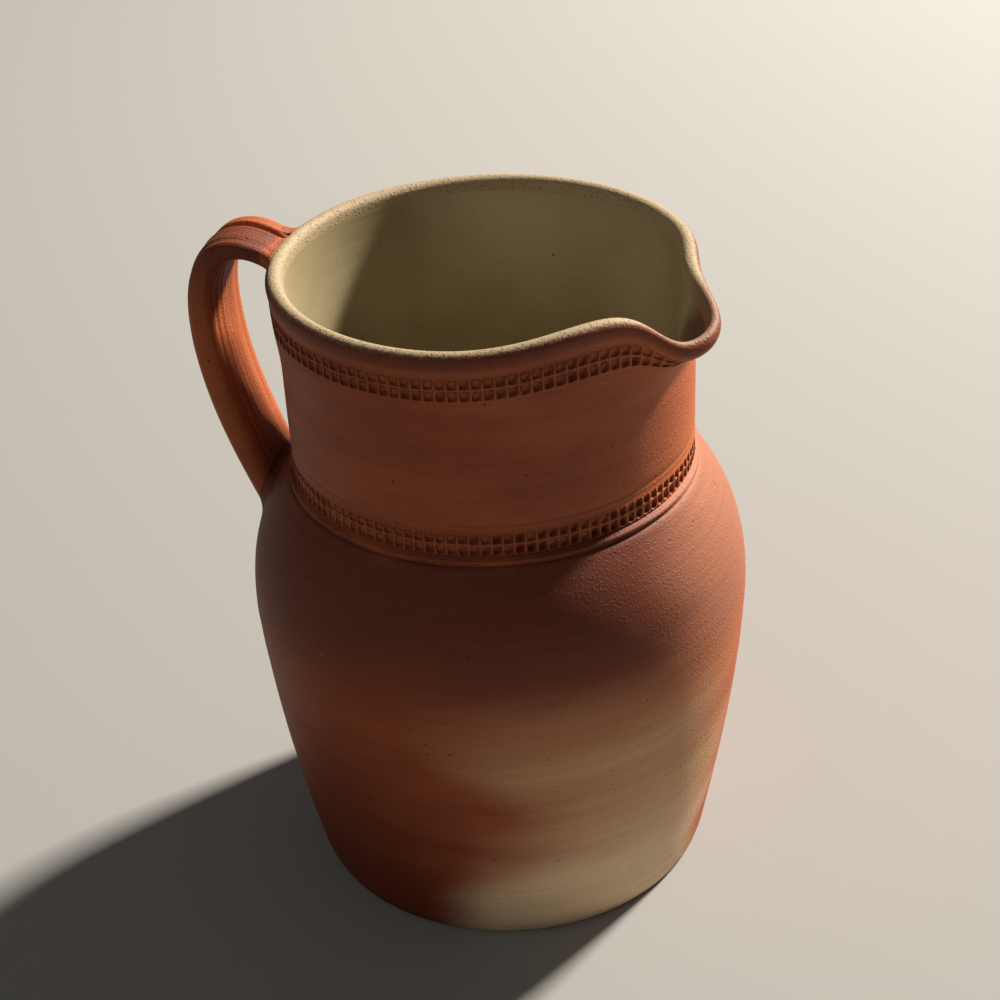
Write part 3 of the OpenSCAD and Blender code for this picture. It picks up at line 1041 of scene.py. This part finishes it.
belly.data.materials.append(clay_material("belly_stoneware"))
neck.data.materials.append(clay_material("neck_stoneware", rimmed=True))
coil.data.materials.append(clay_material("coil_stoneware"))
handle.data.materials.append(clay_material("handle_stoneware", pulled=True, lines=2.2, grit=0.45))
lute_clay = clay_material("lute_stoneware", lines=0.1, grit=0.5)
top_lute.data.materials.append(lute_clay)
foot_lute.data.materials.append(lute_clay)
for piece in (belly, neck, coil, handle, top_lute, foot_lute):
    print(piece.name, "is finished in", piece.data.materials[0].name)

# %% [markdown]
# ## Material: liner glaze
# The glaze is a khaki, semi-gloss skin with small dark specks where iron from the clay has
# bled through. Over the lip it is brown, as a glaze that ran thin. Its roughness changes a
# little with the grain, which breaks up the highlight as on a satin glaze.

# %% Liner glaze material
KHAKI = (0.28, 0.22, 0.118, 1)
CREAM = (0.38, 0.32, 0.195, 1)
THIN_GLAZE = (0.14, 0.055, 0.022, 1)


def glaze_material():
    material = bpy.data.materials.new("khaki_liner_glaze")
    material.use_nodes = True
    tree = material.node_tree
    shader = tree.nodes["Principled BSDF"]
    place = add(tree, "ShaderNodeTexCoord").outputs["Object"]
    thrown = add(tree, "ShaderNodeAttribute", attribute_name="thrown_height").outputs["Fac"]
    cloud = add(tree, "ShaderNodeTexNoise", {"Vector": place, "Scale": 18.0, "Detail": 3.0})
    color = mix_color(tree, ramp(tree, cloud.outputs["Fac"], 0.35, 0.7), KHAKI, CREAM)
    lip = math_node(tree, "MULTIPLY", ramp(tree, toward(tree, place, LIP_ANGLE), 0.955, 0.992),
                    ramp(tree, thrown, 184.0, 200.0))
    color = mix_color(tree, lip, color, THIN_GLAZE)
    dark = use_group(tree, "specks", {"Vector": place, "Scale": 330.0, "Share": 0.08, "Size": 0.16})
    color = mix_color(tree, math_node(tree, "MULTIPLY", dark.outputs["Specks"], 0.85), color, IRON)
    tree.links.new(color, shader.inputs["Base Color"])
    turning = use_group(tree, "lines", {"Vector": place, "Scale": 260.0})
    grain = use_group(tree, "grain", {"Vector": place, "Scale": 500.0})
    rough = math_node(tree, "ADD", 0.22, math_node(tree, "MULTIPLY", grain.outputs["Grain"], 0.14))
    tree.links.new(rough, shader.inputs["Roughness"])
    relief = math_node(tree, "ADD", math_node(tree, "MULTIPLY", turning.outputs["Lines"], 0.8),
                       math_node(tree, "MULTIPLY", grain.outputs["Grain"], 0.12))
    bump = add(tree, "ShaderNodeBump", {"Height": relief, "Strength": 0.35, "Distance": 0.0004})
    tree.links.new(bump.outputs["Normal"], shader.inputs["Normal"])
    return material


glaze.data.materials.append(glaze_material())
print(glaze.name, "is finished in", glaze.data.materials[0].name)

# %% [markdown]
# ## Floor and light
# A plain floor and soft lamps. The floor is a light grey that the main lamp makes pale. The
# main lamp stands behind and to the right, so it skims the shoulder and falls through the
# mouth onto the wall across from it. A wide, weak lamp in front fills the shade.

# %% Floor and light
FLOOR_COLOR = (0.31, 0.303, 0.29, 1)
FLOOR_SIZE = 6.0
LAMP_AIM = Vector((0, 0, 0.12))
ROOM_COLOR = (1.0, 0.98, 0.95, 1)
ROOM_STRENGTH = 0.1


def make_floor():
    bm = bmesh.new()
    bmesh.ops.create_grid(bm, x_segments=1, y_segments=1, size=FLOOR_SIZE / 2)
    mesh = bpy.data.meshes.new("floor")
    bm.to_mesh(mesh)
    bm.free()
    floor = bpy.data.objects.new("floor", mesh)
    bpy.context.scene.collection.objects.link(floor)
    material = bpy.data.materials.new("pale_floor")
    material.use_nodes = True
    shader = material.node_tree.nodes["Principled BSDF"]
    shader.inputs["Base Color"].default_value = FLOOR_COLOR
    shader.inputs["Roughness"].default_value = 0.9
    shader.inputs["Specular IOR Level"].default_value = 0.1
    mesh.materials.append(material)
    return floor


def soft_lamp(name, turn, rise, distance, size, power, color):
    """A square lamp that looks at the pot's middle from a compass turn and a rise in degrees."""
    data = bpy.data.lights.new(name, "AREA")
    data.size = size
    data.energy = power
    data.color = color
    lamp = bpy.data.objects.new(name, data)
    bpy.context.scene.collection.objects.link(lamp)
    a, e = math.radians(turn), math.radians(rise)
    way = Vector((math.cos(a) * math.cos(e), math.sin(a) * math.cos(e), math.sin(e)))
    place = Matrix.Translation(LAMP_AIM + way * distance)
    lamp.matrix_world = place @ way.to_track_quat("Z", "Y").to_matrix().to_4x4()
    return lamp


def light_room():
    world = bpy.data.worlds.new("studio")
    bpy.context.scene.world = world
    world.use_nodes = True
    background = world.node_tree.nodes["Background"]
    background.inputs["Color"].default_value = ROOM_COLOR
    background.inputs["Strength"].default_value = ROOM_STRENGTH
    soft_lamp("key", turn=55, rise=38, distance=3.0, size=0.3, power=250, color=(1.0, 0.94, 0.85))
    soft_lamp("fill", turn=-125, rise=35, distance=1.8, size=1.4, power=2.4, color=(1.0, 0.97, 0.94))
    bpy.context.scene.view_settings.view_transform = "Standard"


floor = make_floor()
light_room()
